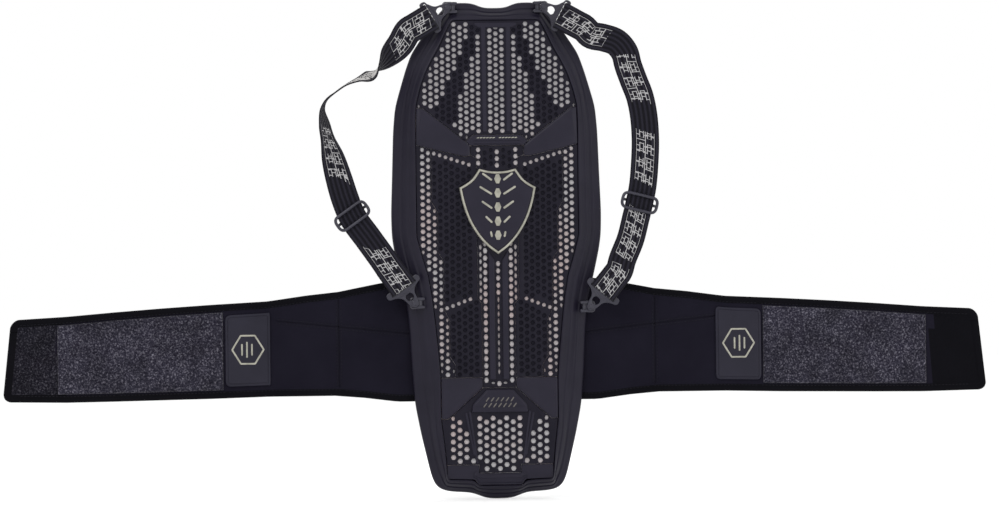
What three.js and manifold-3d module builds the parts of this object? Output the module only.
// Back protector: a moulded plate worn on the back, two shoulder straps and a waist belt.
//
// Units are millimetres. +Z runs up the spine, +X to the wearer's right, and the plate's outer
// side faces -Y. The origin lies on the wearer's side (y = 0), on the centre line, level with
// the lower strap anchors. Depths below are distances outward from the wearer's side, so a
// depth of 22 is at y = -22.

import * as THREE from 'three';
import { mergeVertices } from 'three/addons/utils/BufferGeometryUtils.js';
import Module from 'manifold-3d';

const wasm = await Module();
wasm.setup();

// ---------------------------------------------------------------- driving dimensions

const GAP = 0.3; // clearance between touching pieces
const SEAM = 0.2; // how far each moulded panel stops short of the line it shares

// Layer depths, from the wearer's side outward.
const PAD = [0, 3.6];
const LINER = [3.9, 6.3];
const FOAM = [6.6, 19.9];
const PANEL = [20.2, 22];
const HARD_PLATE = [20.2, 24];
const RIB = [22.3, 24.6];
const BADGE = [22.3, 26];
const BADGE_BORDER = [22.3, 27];

// Right half of the plate's outline, from the top centre down to the bottom centre: [x, z].
const PLATE_EDGE = [
  [0, 304], [14, 304], [21, 309.5], [46, 309.5], [53, 304], [65, 290], [71, 281], [78, 270],
  [87, 257], [93.2, 240], [99.2, 220], [104.8, 200], [107, 175], [108.5, 130], [110, 90],
  [109.5, 66], [107, 50], [101.5, 25], [95, 0], [92, -30], [90, -70], [86.8, -110],
  [81, -140], [76.5, -160], [71.8, -180], [68, -192], [62, -198.5], [50, -200.5],
  [28, -201.5], [14, -208], [0, -208],
];

const PLATE_SIDE = [3, 28]; // the points of PLATE_EDGE that run down its side

// Right half of the line where the smooth rim meets the moulded panels.
const FIELD_EDGE = [
  [0, 291], [46, 291], [53, 277], [60, 262], [68, 248], [74.5, 235], [80, 219], [84, 203],
  [84.8, 190], [84.8, 66], [79.3, 45], [73.3, 25], [69.3, 2], [66.3, -25], [62.8, -60],
  [61.3, -82], [61.3, -125], [58.3, -150], [56, -172], [56, -187.5], [27, -188.5],
  [23, -194.2], [0, -194.2],
];

// The rim's section: share of the way from the outline to the field, and depth.
const RIM_SECTION = [
  [0, 6.6], [0, 9.5], [0.08, 11.5], [0.45, 17], [0.85, 22.5], [1, 23], [1, 6.6],
];
const RIM_FILL_STEP = 12; // degrees between the rim's extra stations
const RIM_LEAST_STEP = 0.004; // radians; stations nearer than this are one
const RIM_MIDDLE = [0, 50]; // the stations' rays start here

const PAD_INSET = 9;
const LINER_INSET = 3;
const BELT_ROOT = 105; // the belt leaves the plate here
const PAD_SPLIT = { upper: [25, 297], lower: [-196, -110] };

// The waist belt's edges on one side: [distance from the centre line, z].
const BELT_TOP = [
  [0, 21], [105, 21], [130, 16.5], [166, 9.5], [200, 6], [240, 0.5], [300, -2.5],
  [350, -5.5], [400, -9], [450, -13], [498, -15.5],
];
const BELT_BOTTOM = [
  [0, -106], [105, -106], [140, -101.5], [170, -99], [240, -99], [300, -100.5],
  [400, -102], [450, -102.5], [505, -101.5],
];
// The belt's rounded tip, from its bottom edge up to its top edge.
const BELT_TIP = [[513, -98.5], [516, -90], [509, -26], [506, -18.5]];
const BELT_TIP_START = { top: 498, bottom: 505 };
const BELT_MIDDLE = -60; // between the two edges
const BELT_DEPTH = [0, 3.6];
const BELT_END_DEPTH = [1.9, 3.6];
const HOOK_STRIP_DEPTH = [0, 1.6];
const HOOK_STRIP_SPAN = [404, 508];
const OVERLAY_DEPTH = [3.9, 5.7];
const LABEL_DEPTH = [3.9, 6.1];
const PATCH_INSET = 8.5;
const LABEL_INSET = 12;
const HINGE_GAP = 0.2;

// Fold lines of each wing, and what is sewn on it, as distances from the centre line.
const WINGS = {
  left: { side: -1, folds: [105, 166, 287, 402], label: [238, 285], patchEnd: 460 },
  right: { side: 1, folds: [105, 166, 280, 382], label: [230, 278], patchEnd: 453 },
};

const WEBBING = { half: 14.5, thick: 1.8 };
const STRAP_LEVEL = 24; // depth of the webbing's middle where it lies over the plate
const SWING_GAP = 3; // half the stretch of webbing that bends at the swing line
const STRAP_STEPS = 44;
// The boxes that divide a strap reach past it on every side.
const CUT = { depth: [-20, 90], reach: 300, high: 340, middle: 150, low: -40 };

// Each strap's middle line between its clips: [x, depth, z, degrees it twists out of the plate's
// plane]. It runs straight into each clip. swing holds two points of the line the loop swings about.
const STRAPS = {
  left: {
    side: -1,
    path: [
      [-100, 25, 267, 10], [-112, 27, 254.5, 36],
      [-122, 29, 243.5, 60], [-132, 30, 234.5, 78], [-145, 30, 230, 85], [-158, 30, 224.5, 88],
      [-169, 29, 217, 88], [-178.5, 28, 209, 84], [-182.5, 27, 199, 76], [-180.5, 26, 184, 62],
      [-177, 25, 168, 54], [-172, 24.4, 150, 30], [-166, 24, 128, 12], [-159.5, 24, 106, 0],
      [-152, 24, 87.4, 0], [-136, 24, 64.7, 0], [-120, 24, 42, 0],
    ],
    swing: [[-100, 267], [-118, 37]],
    topHook: [-51, 304.5],
    topAim: [-0.86, -0.51],
    bottomHook: [-88.5, -3.2],
    bottomAim: [-0.576, 0.817],
    slider: { at: [-152.6, 88.3], along: [0.576, -0.817] },
  },
  right: {
    side: 1,
    path: [
      [100, 25, 274.5, 0], [113, 26.5, 271.5, 0],
      [126, 28, 266.5, 0], [134.5, 29, 256, 0], [138, 29, 243, 0], [143.5, 27, 228, 0],
      [150.5, 25, 210, 0], [154.5, 24, 190, 0], [156, 24, 166, 0], [155, 24, 140, 0],
      [152.6, 24, 116, 0], [149, 24, 99, 0], [144.5, 24, 81, 0], [139, 24, 60.5, 0],
      [130.5, 24, 40, 0],
    ],
    swing: [[100, 274], [120, 22]],
    topHook: [51, 304.5],
    topAim: [0.88, -0.475],
    bottomHook: [97, -9],
    bottomAim: [0.63, 0.777],
    slider: { at: [149, 99], along: [-0.24, -0.971] },
  },
};

const CLIP = {
  depth: [22.9, 25.7],
  pegRadius: 1.5,
  pegDepth: 19.2,
  holeAt: 8,
  holeRadius: 4.6,
  slot: [17.4, 20.2],
  webbingRoom: 15.2,
  webbingFrom: [24.6, 32], // the webbing runs straight between these
};
// Half outline of a clip: [distance from the peg along the strap, half width].
const CLIP_HALF = {
  top: [
    [-4.2, 0], [-3.8, 2.6], [-1, 4.6], [4, 6.6], [10, 8.6], [14.5, 12], [17, 16.6], [23.8, 17.4],
  ],
  bottom: [
    [-4.2, 0], [-3.8, 2.6], [-1, 4.6], [4, 6.6], [10, 8.8], [14.5, 12.6], [17, 18.5], [19, 20],
    [23.8, 20],
  ],
};

const RING = { wire: 1.2, length: 9.5, half: 5, corner: 2, depth: 20.8, pegAt: 6.2 };
const ANCHOR = { half: 3.4, width: 5.2, depth: [12, 22.5], bore: 1.6 };

const SLIDER = {
  half: 20,
  halfLength: 9,
  bar: 2.4,
  side: 4.6,
  front: [25.3, 27.7],
  rear: [20.4, 22.7],
  rearBar: 1.8,
};

const ROUND = 16; // sides of a small round section
const TINY = 1e-6; // below this, two lines count as parallel
const WELD = 1e-4; // points nearer than this are one

// ---------------------------------------------------------------- materials

const look = {
  rubber: { color: 0x2a2a33, roughness: 0.62 },
  plate: { color: 0x2c2c35, roughness: 0.5 },
  foam: { color: 0xb4aead, roughness: 0.95 },
  mesh: { color: 0x1c1c22, roughness: 0.95 },
  belt: { color: 0x1b1b23, roughness: 0.9 },
  patch: { color: 0x3a3a42, roughness: 1 },
  label: { color: 0x33333b, roughness: 0.55 },
  webbing: { color: 0x17171d, roughness: 0.9 },
  clip: { color: 0x4a4a55, roughness: 0.4 },
  border: { color: 0xa8a294, roughness: 0.45 },
  ring: { color: 0x55555e, roughness: 0.35 },
};

// ---------------------------------------------------------------- shapes

function area(points) {
  let sum = 0;
  points.forEach(([x, z], i) => {
    const [nextX, nextZ] = points[(i + 1) % points.length];
    sum += x * nextZ - nextX * z;
  });
  return sum / 2;
}

// Shapes run anticlockwise, so that an extrusion turns their holes the other way.
function toShape(points) {
  const turned = area(points) > 0 ? points : [...points].reverse();
  return new THREE.Shape(turned.map(([x, z]) => new THREE.Vector2(x, z)));
}

// A flat piece whose outline lies in the plate's plane, between two depths.
function slab(points, [back, front], holes = []) {
  const shape = toShape(points);
  for (const hole of holes) {
    shape.holes.push(toShape(hole));
  }
  const geometry = new THREE.ExtrudeGeometry(shape, { depth: front - back, bevelEnabled: false });
  return geometry.rotateX(Math.PI / 2).translate(0, -back, 0);
}

function mirrored(half) {
  const left = half.filter(([x]) => x > 0).map(([x, z]) => [-x, z]);
  return [...half, ...left.reverse()];
}

function flipped(points) {
  return points.map(([x, z]) => [-x, z]).reverse();
}

// Moves every side of a closed outline inward by the same distance.
function inset(points, distance) {
  const turn = Math.sign(area(points));
  const count = points.length;
  const sides = points.map(([x, z], i) => {
    const [nextX, nextZ] = points[(i + 1) % count];
    const length = Math.hypot(nextX - x, nextZ - z);
    const along = [(nextX - x) / length, (nextZ - z) / length];
    const inward = [-along[1] * turn, along[0] * turn];
    return { point: [x + inward[0] * distance, z + inward[1] * distance], along };
  });
  return sides.map((side, i) => {
    const before = sides[(i + count - 1) % count];
    const cross = before.along[0] * side.along[1] - before.along[1] * side.along[0];
    if (Math.abs(cross) < TINY) {
      return side.point;
    }
    const dx = side.point[0] - before.point[0];
    const dz = side.point[1] - before.point[1];
    const t = (dx * side.along[1] - dz * side.along[0]) / cross;
    return [before.point[0] + before.along[0] * t, before.point[1] + before.along[1] * t];
  });
}

// Straight interpolation in a list of [key, value] with rising keys.
function lookUp(list, key) {
  const next = list.findIndex(([k]) => k >= key);
  if (next <= 0) {
    return list[next === 0 ? 0 : list.length - 1][1];
  }
  const [k0, v0] = list[next - 1];
  const [k1, v1] = list[next];
  return v0 + ((v1 - v0) * (key - k0)) / (k1 - k0);
}

function plateHalfWidth(z) {
  const sides = PLATE_EDGE.slice(...PLATE_SIDE).map(([x, level]) => [level, x]);
  return lookUp(sides.reverse(), z);
}

// The plate's outline between two levels, held in from its edge.
function plateBand([low, high], margin) {
  const steps = 16;
  const half = [];
  for (let i = 0; i <= steps; i += 1) {
    const z = high + ((low - high) * i) / steps;
    half.push([plateHalfWidth(z) - margin, z]);
  }
  return mirrored(half);
}

// Where a ray from a middle point leaves a closed outline.
function rayHit(outline, middle, angle) {
  const ray = [Math.cos(angle), Math.sin(angle)];
  let best = 0;
  outline.forEach(([x, z], i) => {
    const [nextX, nextZ] = outline[(i + 1) % outline.length];
    const side = [nextX - x, nextZ - z];
    const cross = ray[0] * side[1] - ray[1] * side[0];
    if (Math.abs(cross) < TINY) {
      return;
    }
    const dx = x - middle[0];
    const dz = z - middle[1];
    const reach = (dx * side[1] - dz * side[0]) / cross;
    const share = (dx * ray[1] - dz * ray[0]) / cross;
    if (reach > best && share > -TINY && share < 1 + TINY) {
      best = reach;
    }
  });
  return [middle[0] + ray[0] * best, middle[1] + ray[1] * best];
}

// A closed body from points and triangles, turned so that its faces point out.
function body(points, triangles) {
  let volume = 0;
  for (const [a, b, c] of triangles) {
    volume += points[a].dot(new THREE.Vector3().crossVectors(points[b], points[c]));
  }
  const faces = volume > 0 ? triangles : triangles.map(([a, b, c]) => [a, c, b]);
  const geometry = new THREE.BufferGeometry();
  geometry.setFromPoints(points);
  geometry.setIndex(faces.flat());
  return geometry;
}

// Joins equal rings of points; closed loops back to the first ring, otherwise ends are capped.
function loft(rings, closed) {
  const sides = rings[0].length;
  const triangles = [];
  const last = closed ? rings.length : rings.length - 1;
  for (let i = 0; i < last; i += 1) {
    const here = i * sides;
    const there = ((i + 1) % rings.length) * sides;
    for (let j = 0; j < sides; j += 1) {
      const k = (j + 1) % sides;
      triangles.push([here + j, here + k, there + k], [here + j, there + k, there + j]);
    }
  }
  if (!closed) {
    const end = (rings.length - 1) * sides;
    for (let j = 1; j < sides - 1; j += 1) {
      triangles.push([0, j + 1, j], [end, end + j, end + j + 1]);
    }
  }
  return body(rings.flat(), triangles);
}

function solid(geometry) {
  const bare = geometry.clone();
  bare.deleteAttribute('normal');
  bare.deleteAttribute('uv');
  const merged = mergeVertices(bare, WELD);
  const mesh = new wasm.Mesh({
    numProp: 3,
    vertProperties: new Float32Array(merged.attributes.position.array),
    triVerts: new Uint32Array(merged.index.array),
  });
  return new wasm.Manifold(mesh);
}

function fromSolid(manifold) {
  const mesh = manifold.getMesh();
  const geometry = new THREE.BufferGeometry();
  geometry.setAttribute('position', new THREE.BufferAttribute(mesh.vertProperties, 3));
  geometry.setIndex(new THREE.BufferAttribute(mesh.triVerts, 1));
  return geometry;
}

const cut = (from, ...tools) => fromSolid(
  tools.reduce((left, tool) => left.subtract(solid(tool)), solid(from)),
);
const join = (...pieces) => fromSolid(
  pieces.map(solid).reduce((all, piece) => all.add(piece)),
);
const common = (a, b) => fromSolid(solid(a).intersect(solid(b)));

function circle([x, z], radius, sides = ROUND) {
  const points = [];
  for (let i = 0; i < sides; i += 1) {
    const angle = (2 * Math.PI * i) / sides;
    points.push([x + radius * Math.cos(angle), z + radius * Math.sin(angle)]);
  }
  return points;
}

// Places points given as [along, across] in a frame that starts at `from` and runs along `aim`.
function placed(points, from, aim) {
  const length = Math.hypot(aim[0], aim[1]);
  const [ax, az] = [aim[0] / length, aim[1] / length];
  return points.map(([s, w]) => [from[0] + ax * s - az * w, from[1] + az * s + ax * w]);
}

const model = new THREE.Group();

function add(name, geometry, { color, roughness, metalness = 0 }) {
  const mesh = new THREE.Mesh(
    geometry,
    new THREE.MeshStandardMaterial({ color, roughness, metalness }),
  );
  mesh.name = name;
  model.add(mesh);
}

function addPair(name, geometryFor, finish) {
  add(`${name}_right`, geometryFor((points) => points), finish);
  add(`${name}_left`, geometryFor(flipped), finish);
}

// ---------------------------------------------------------------- plate: soft layers and rim

const plateOutline = mirrored(PLATE_EDGE);
const fieldOutline = mirrored(FIELD_EDGE);
const rimOpening = inset(fieldOutline, -GAP);

add('comfort_pad_upper', slab(plateBand(PAD_SPLIT.upper, PAD_INSET), PAD), look.mesh);
add('comfort_pad_lower', slab(plateBand(PAD_SPLIT.lower, PAD_INSET), PAD), look.mesh);
add('back_liner', slab(inset(plateOutline, LINER_INSET), LINER), look.mesh);
add('foam_core', slab(inset(fieldOutline, GAP), FOAM), look.foam);

// The rim is one closed ring: each station is a section between the outline and the field.
function rim() {
  const middle = RIM_MIDDLE;
  const angles = [...plateOutline, ...rimOpening].map(([x, z]) => Math.atan2(z - middle[1], x));
  for (let degrees = -180; degrees < 180; degrees += RIM_FILL_STEP) {
    angles.push(THREE.MathUtils.degToRad(degrees));
  }
  angles.sort((a, b) => a - b);
  const stations = angles.filter((angle, i) => i === 0 || angle - angles[i - 1] > RIM_LEAST_STEP);
  const rings = stations.map((angle) => {
    const outer = rayHit(plateOutline, middle, angle);
    const inner = rayHit(rimOpening, middle, angle);
    return RIM_SECTION.map(([share, depth]) => new THREE.Vector3(
      outer[0] + (inner[0] - outer[0]) * share,
      -depth,
      outer[1] + (inner[1] - outer[1]) * share,
    ));
  });
  return loft(rings, true);
}

const rimGeometry = rim();
add('rim_frame', rimGeometry, look.rubber);

// ---------------------------------------------------------------- plate: moulded panels

// Corners that several panels share (right half).
const SHOULDER_CORNER = [84.1, 200.3];
const SHOULDER_TIP = [76.5, 199];
const BAR_CORNER = [33, 165];
const BAR_TOP = [25, 171.5];
const BAR_FOOT = [28, 160.3];
const SPINE_HEAD = [28, 150];
const SHOULDER_FOOT = [34, 149];
const SPINE_NECK = [21.5, 148];
const SPINE_WAIST = [21.5, 0];
const SPINE_LOW = [17.5, -4];
const SPINE_FOOT = [17.5, -92.3];
const LUMBAR_HEAD = [17.5, -81.8];
const LUMBAR_MIDDLE = [36, -108.8];
const LUMBAR_FOOT = [54, -124.8];
const LUMBAR_CORNER = [61.1, -124.8];
const TAIL_STEP = [56, -172.6];
const TAIL_NOTCH = [22, -172.6];
const TAIL_FLOOR = [22, -181.2];
const FIELD_TOP = FIELD_EDGE.slice(0, 8);
// The line between the open strip at the side and the closed honeycomb beside it.
const VENT_LINE = [
  [69, 157.2], [69, 102], [63, 92], [63, 50], [57, 40], [57, -10], [51.3, -22], [51.3, -60],
  [46, -68], [46, -81.8],
];

const panel = (points, depths) => slab(inset(points, SEAM), depths);

add(
  'upper_honeycomb',
  panel(mirrored([...FIELD_TOP, SHOULDER_CORNER, SHOULDER_TIP, BAR_CORNER, BAR_TOP]), PANEL),
  look.rubber,
);

addPair('shoulder_plate', (turn) => panel(turn([
  SHOULDER_CORNER, SHOULDER_TIP, BAR_CORNER, BAR_FOOT, SPINE_HEAD, SHOULDER_FOOT, VENT_LINE[0],
  [84.8, 161.2],
]), HARD_PLATE), look.plate);

add('cross_bar', panel(mirrored([BAR_TOP, BAR_CORNER, BAR_FOOT]), HARD_PLATE), look.plate);

add('spine_vent_strip', panel(mirrored([
  BAR_FOOT, SPINE_HEAD, SPINE_NECK, SPINE_WAIST, SPINE_LOW, SPINE_FOOT,
]), PANEL), look.rubber);

addPair('mid_honeycomb', (turn) => panel(turn([
  SPINE_NECK, SPINE_HEAD, SHOULDER_FOOT, ...VENT_LINE, LUMBAR_HEAD, SPINE_LOW, SPINE_WAIST,
]), PANEL), look.rubber);

addPair('side_vent_strip', (turn) => panel(turn([
  VENT_LINE[0], [84.8, 161.2], ...FIELD_EDGE.slice(9, 15), [61.3, -81.8],
  ...VENT_LINE.slice(1).reverse(),
]), PANEL), look.rubber);

addPair('lumbar_plate', (turn) => panel(turn([
  [61.1, -81.8], LUMBAR_HEAD, SPINE_FOOT, LUMBAR_MIDDLE, LUMBAR_FOOT, LUMBAR_CORNER,
]), HARD_PLATE), look.plate);

add('tail_honeycomb', panel(mirrored([
  SPINE_FOOT, LUMBAR_MIDDLE, LUMBAR_FOOT, LUMBAR_CORNER, [58.3, -150], TAIL_STEP, TAIL_NOTCH,
  TAIL_FLOOR,
]), PANEL), look.rubber);

add('tail_ledge', panel([
  TAIL_NOTCH, TAIL_STEP, [56, -187.3], [27, -188.3], [23, -194], [-23, -194], [-27, -188.3],
  [-56, -187.3], [-56, -172.6], [-22, -172.6], [-22, -181.2], TAIL_FLOOR,
], PANEL), look.plate);

addPair('spine_rib', (turn) => slab(turn([
  [3.9, 40], [10.1, 50], [10.1, -84], [3.9, -84],
]), RIB), look.plate);

// ---------------------------------------------------------------- plate: badges

const SHIELD_HALF = [
  [0, 133], [10, 133.8], [19, 136], [26, 126], [33, 120.4], [40, 116.5], [37, 102], [32.6, 88],
  [27, 76], [19, 64], [10, 54.5], [0, 47],
];
const BADGE_LIP = 2.6;

const shieldOutline = mirrored(SHIELD_HALF);
const shieldFace = inset(shieldOutline, BADGE_LIP);
add('shield_badge', slab(inset(shieldFace, GAP), BADGE), look.plate);
add('shield_border', slab(shieldOutline, BADGE_BORDER, [shieldFace]), look.border);
add('lumbar_badge', slab(mirrored([[14, -94.5], [28.5, -110], [29.5, -118]]), RIB), look.plate);

// ---------------------------------------------------------------- waist belt

add('belt_back_panel', slab([
  [-BELT_ROOT + HINGE_GAP, BELT_BOTTOM[0][1]], [BELT_ROOT - HINGE_GAP, BELT_BOTTOM[0][1]],
  [BELT_ROOT - HINGE_GAP, BELT_TOP[0][1]], [-BELT_ROOT + HINGE_GAP, BELT_TOP[0][1]],
], BELT_DEPTH), look.belt);

// The belt's outline on one side between two distances from the centre line.
function beltSpan(from, to, margin = 0) {
  const within = (list) => {
    const keys = [from, ...list.map(([x]) => x).filter((x) => x > from && x < to), to];
    return keys.map((x) => [x, lookUp(list, x)]);
  };
  const top = within(BELT_TOP).map(([x, z]) => [x, z - margin]);
  const bottom = within(BELT_BOTTOM).map(([x, z]) => [x, z + margin]);
  return [...bottom, ...top.reverse()];
}

function beltEnd(from) {
  const top = beltSpan(from, BELT_TIP_START.top).filter(([, z]) => z > BELT_MIDDLE);
  const bottom = beltSpan(from, BELT_TIP_START.bottom).filter(([, z]) => z < BELT_MIDDLE);
  return [...bottom, ...BELT_TIP, ...top];
}

for (const [hand, wing] of Object.entries(WINGS)) {
  const turn = wing.side > 0 ? (points) => points : flipped;
  const [first, second, third, fourth] = wing.folds;
  const spans = [[first, second], [second, third], [third, fourth]];
  spans.forEach(([from, to], i) => {
    const outline = turn(beltSpan(from + HINGE_GAP, to - HINGE_GAP));
    add(`belt_${hand}_${i + 1}`, slab(outline, BELT_DEPTH), look.belt);
  });
  const hooked = hand === 'left';
  const endDepth = hooked ? BELT_END_DEPTH : BELT_DEPTH;
  add(`belt_${hand}_4`, slab(turn(beltEnd(fourth + HINGE_GAP)), endDepth), look.belt);
  add(`belt_label_${hand}`, slab(turn(beltSpan(...wing.label, LABEL_INSET)), LABEL_DEPTH), look.label);
  const patches = [[third, fourth], [fourth, wing.patchEnd]];
  patches.forEach(([from, to], i) => {
    const outline = turn(beltSpan(from + GAP, to - GAP, PATCH_INSET));
    add(`closure_patch_${hand}_${i + 1}`, slab(outline, OVERLAY_DEPTH), look.patch);
  });
  if (hooked) {
    const outline = turn(beltSpan(...HOOK_STRIP_SPAN, PATCH_INSET));
    add(`hook_strip_${hand}`, slab(outline, HOOK_STRIP_DEPTH), look.patch);
  }
}

// ---------------------------------------------------------------- shoulder straps

// The webbing as one flat band along its middle line.
function webbing(path) {
  const middle = new THREE.CatmullRomCurve3(
    path.map(([x, depth, z]) => new THREE.Vector3(x, -depth, z)),
    false,
    'centripetal',
  );
  const outward = new THREE.Vector3(0, -1, 0);
  const rings = [];
  for (let i = 0; i <= STRAP_STEPS; i += 1) {
    const t = i / STRAP_STEPS;
    const place = t * (path.length - 1);
    const before = Math.min(Math.floor(place), path.length - 2);
    const share = place - before;
    const twist = THREE.MathUtils.degToRad(
      path[before][3] + (path[before + 1][3] - path[before][3]) * share,
    );
    const tangent = middle.getTangent(t);
    const flatAcross = new THREE.Vector3().crossVectors(tangent, outward).normalize();
    const flatNormal = new THREE.Vector3().crossVectors(flatAcross, tangent).normalize();
    const across = flatAcross.clone().multiplyScalar(Math.cos(twist));
    across.addScaledVector(flatNormal, Math.sin(twist));
    const normal = new THREE.Vector3().crossVectors(across, tangent).normalize();
    const point = middle.getPoint(t);
    const corner = (w, n) => point.clone()
      .addScaledVector(across, w * WEBBING.half)
      .addScaledVector(normal, (n * WEBBING.thick) / 2);
    rings.push([corner(-1, -1), corner(1, -1), corner(1, 1), corner(-1, 1)]);
  }
  return loft(rings, false);
}

// The three stretches of a strap: its two ends stay on the plate, and its loop swings.
function strapStretches(strap) {
  const { side, swing } = strap;
  const entry = (hook, aim) => CLIP.webbingFrom.map((reach) => {
    const [[x, z]] = placed([[reach, 0]], hook, aim);
    return [x, STRAP_LEVEL, z, 0];
  });
  const upperEnd = entry(strap.topHook, strap.topAim);
  const lowerEnd = entry(strap.bottomHook, strap.bottomAim);
  const band = webbing([...upperEnd, ...strap.path, ...lowerEnd.reverse()]);
  const [[x0, z0], [x1, z1]] = swing;
  const lineAt = (z) => x0 + ((z - z0) * (x1 - x0)) / (z1 - z0);
  const region = (near, away, top, bottom) => slab([
    [lineAt(bottom) + near, bottom], [away, bottom], [away, top], [lineAt(top) + near, top],
  ], CUT.depth);
  const gap = SWING_GAP * side;
  const far = CUT.reach * side;
  return {
    loop: common(band, region(gap, far, CUT.high, CUT.low)),
    top: common(band, region(-gap, 0, CUT.high, CUT.middle)),
    bottom: common(band, region(-gap, 0, CUT.middle, CUT.low)),
  };
}

function clip(half, hook, aim) {
  const [tip, ...rest] = half;
  const outline = [tip, ...rest, ...rest.map(([s, w]) => [s, -w]).reverse()];
  const [slotFrom, slotTo] = CLIP.slot;
  const slot = [
    [slotFrom, -CLIP.webbingRoom], [slotTo, -CLIP.webbingRoom],
    [slotTo, CLIP.webbingRoom], [slotFrom, CLIP.webbingRoom],
  ];
  const place = (points) => placed(points, hook, aim);
  const plate = slab(place(outline), CLIP.depth, [
    place(circle([CLIP.holeAt, 0], CLIP.holeRadius)), place(slot),
  ]);
  const peg = slab(place(circle([0, 0], CLIP.pegRadius)), [CLIP.pegDepth, CLIP.depth[0] + 1]);
  return join(plate, peg);
}

// A wire ring that lies over the rim; the clip's peg drops into it.
function ring(hook, side) {
  const { wire, length, half, corner, depth, pegAt } = RING;
  const near = hook[0] - side * pegAt;
  const path = [];
  const arcSteps = 3;
  const corners = [
    [length - corner, half - corner, 0], [corner, half - corner, 90],
    [corner, corner - half, 180], [length - corner, corner - half, 270],
  ];
  for (const [s, w, start] of corners) {
    for (let i = 0; i <= arcSteps; i += 1) {
      const angle = THREE.MathUtils.degToRad(start + (90 * i) / arcSteps);
      path.push([s + corner * Math.cos(angle), w + corner * Math.sin(angle)]);
    }
  }
  const rings = path.map(([s, w], i) => {
    const [beforeS, beforeW] = path[(i + path.length - 1) % path.length];
    const [afterS, afterW] = path[(i + 1) % path.length];
    const run = Math.hypot(afterS - beforeS, afterW - beforeW);
    const outward = [(afterW - beforeW) / run, -(afterS - beforeS) / run];
    return circle([0, 0], wire, 8).map(([out, up]) => new THREE.Vector3(
      near + side * (s + outward[0] * out),
      -depth - up,
      hook[1] + w + outward[1] * out,
    ));
  });
  return loft(rings, true);
}

// The lug that holds the ring: its foot follows the rim, and the ring's bar runs in its bore.
function anchor(hook, side) {
  const { half, width, depth, bore } = ANCHOR;
  const x = hook[0] - side * RING.pegAt;
  const block = slab([
    [x - width / 2, hook[1] - half], [x + width / 2, hook[1] - half],
    [x + width / 2, hook[1] + half], [x - width / 2, hook[1] + half],
  ], depth);
  const drill = new THREE.CylinderGeometry(bore, bore, 4 * half, ROUND)
    .rotateX(Math.PI / 2)
    .translate(x, -RING.depth, hook[1]);
  const rimWithRoom = rimGeometry.clone().translate(0, -GAP, 0);
  return cut(block, rimWithRoom, drill);
}

function slider({ at, along }) {
  const { half, halfLength, bar, side, front, rear, rearBar } = SLIDER;
  const place = (from, to, low, high) => placed([
    [from, low], [to, low], [to, high], [from, high],
  ], at, along);
  const inner = half - side;
  return join(
    slab(
      place(-halfLength, halfLength, -half, half),
      front,
      [place(-halfLength + bar, halfLength - bar, -inner, inner)],
    ),
    slab(place(-rearBar, rearBar, -half, -inner), [rear[0], front[0] + 1]),
    slab(place(-rearBar, rearBar, inner, half), [rear[0], front[0] + 1]),
    slab(place(-rearBar, rearBar, -half, half), rear),
  );
}

for (const [hand, strap] of Object.entries(STRAPS)) {
  const stretches = strapStretches(strap);
  add(`strap_${hand}_top`, stretches.top, look.webbing);
  add(`strap_${hand}_loop`, stretches.loop, look.webbing);
  add(`strap_${hand}_bottom`, stretches.bottom, look.webbing);
  add(`slider_${hand}`, slider(strap.slider), look.clip);
  for (const [end, hook, aim] of [
    ['top', strap.topHook, strap.topAim],
    ['bottom', strap.bottomHook, strap.bottomAim],
  ]) {
    add(`clip_${hand}_${end}`, clip(CLIP_HALF[end], hook, aim), look.clip);
    add(`ring_${hand}_${end}`, ring(hook, strap.side), look.ring);
    add(`anchor_${hand}_${end}`, anchor(hook, strap.side), look.plate);
  }
}

export default model;
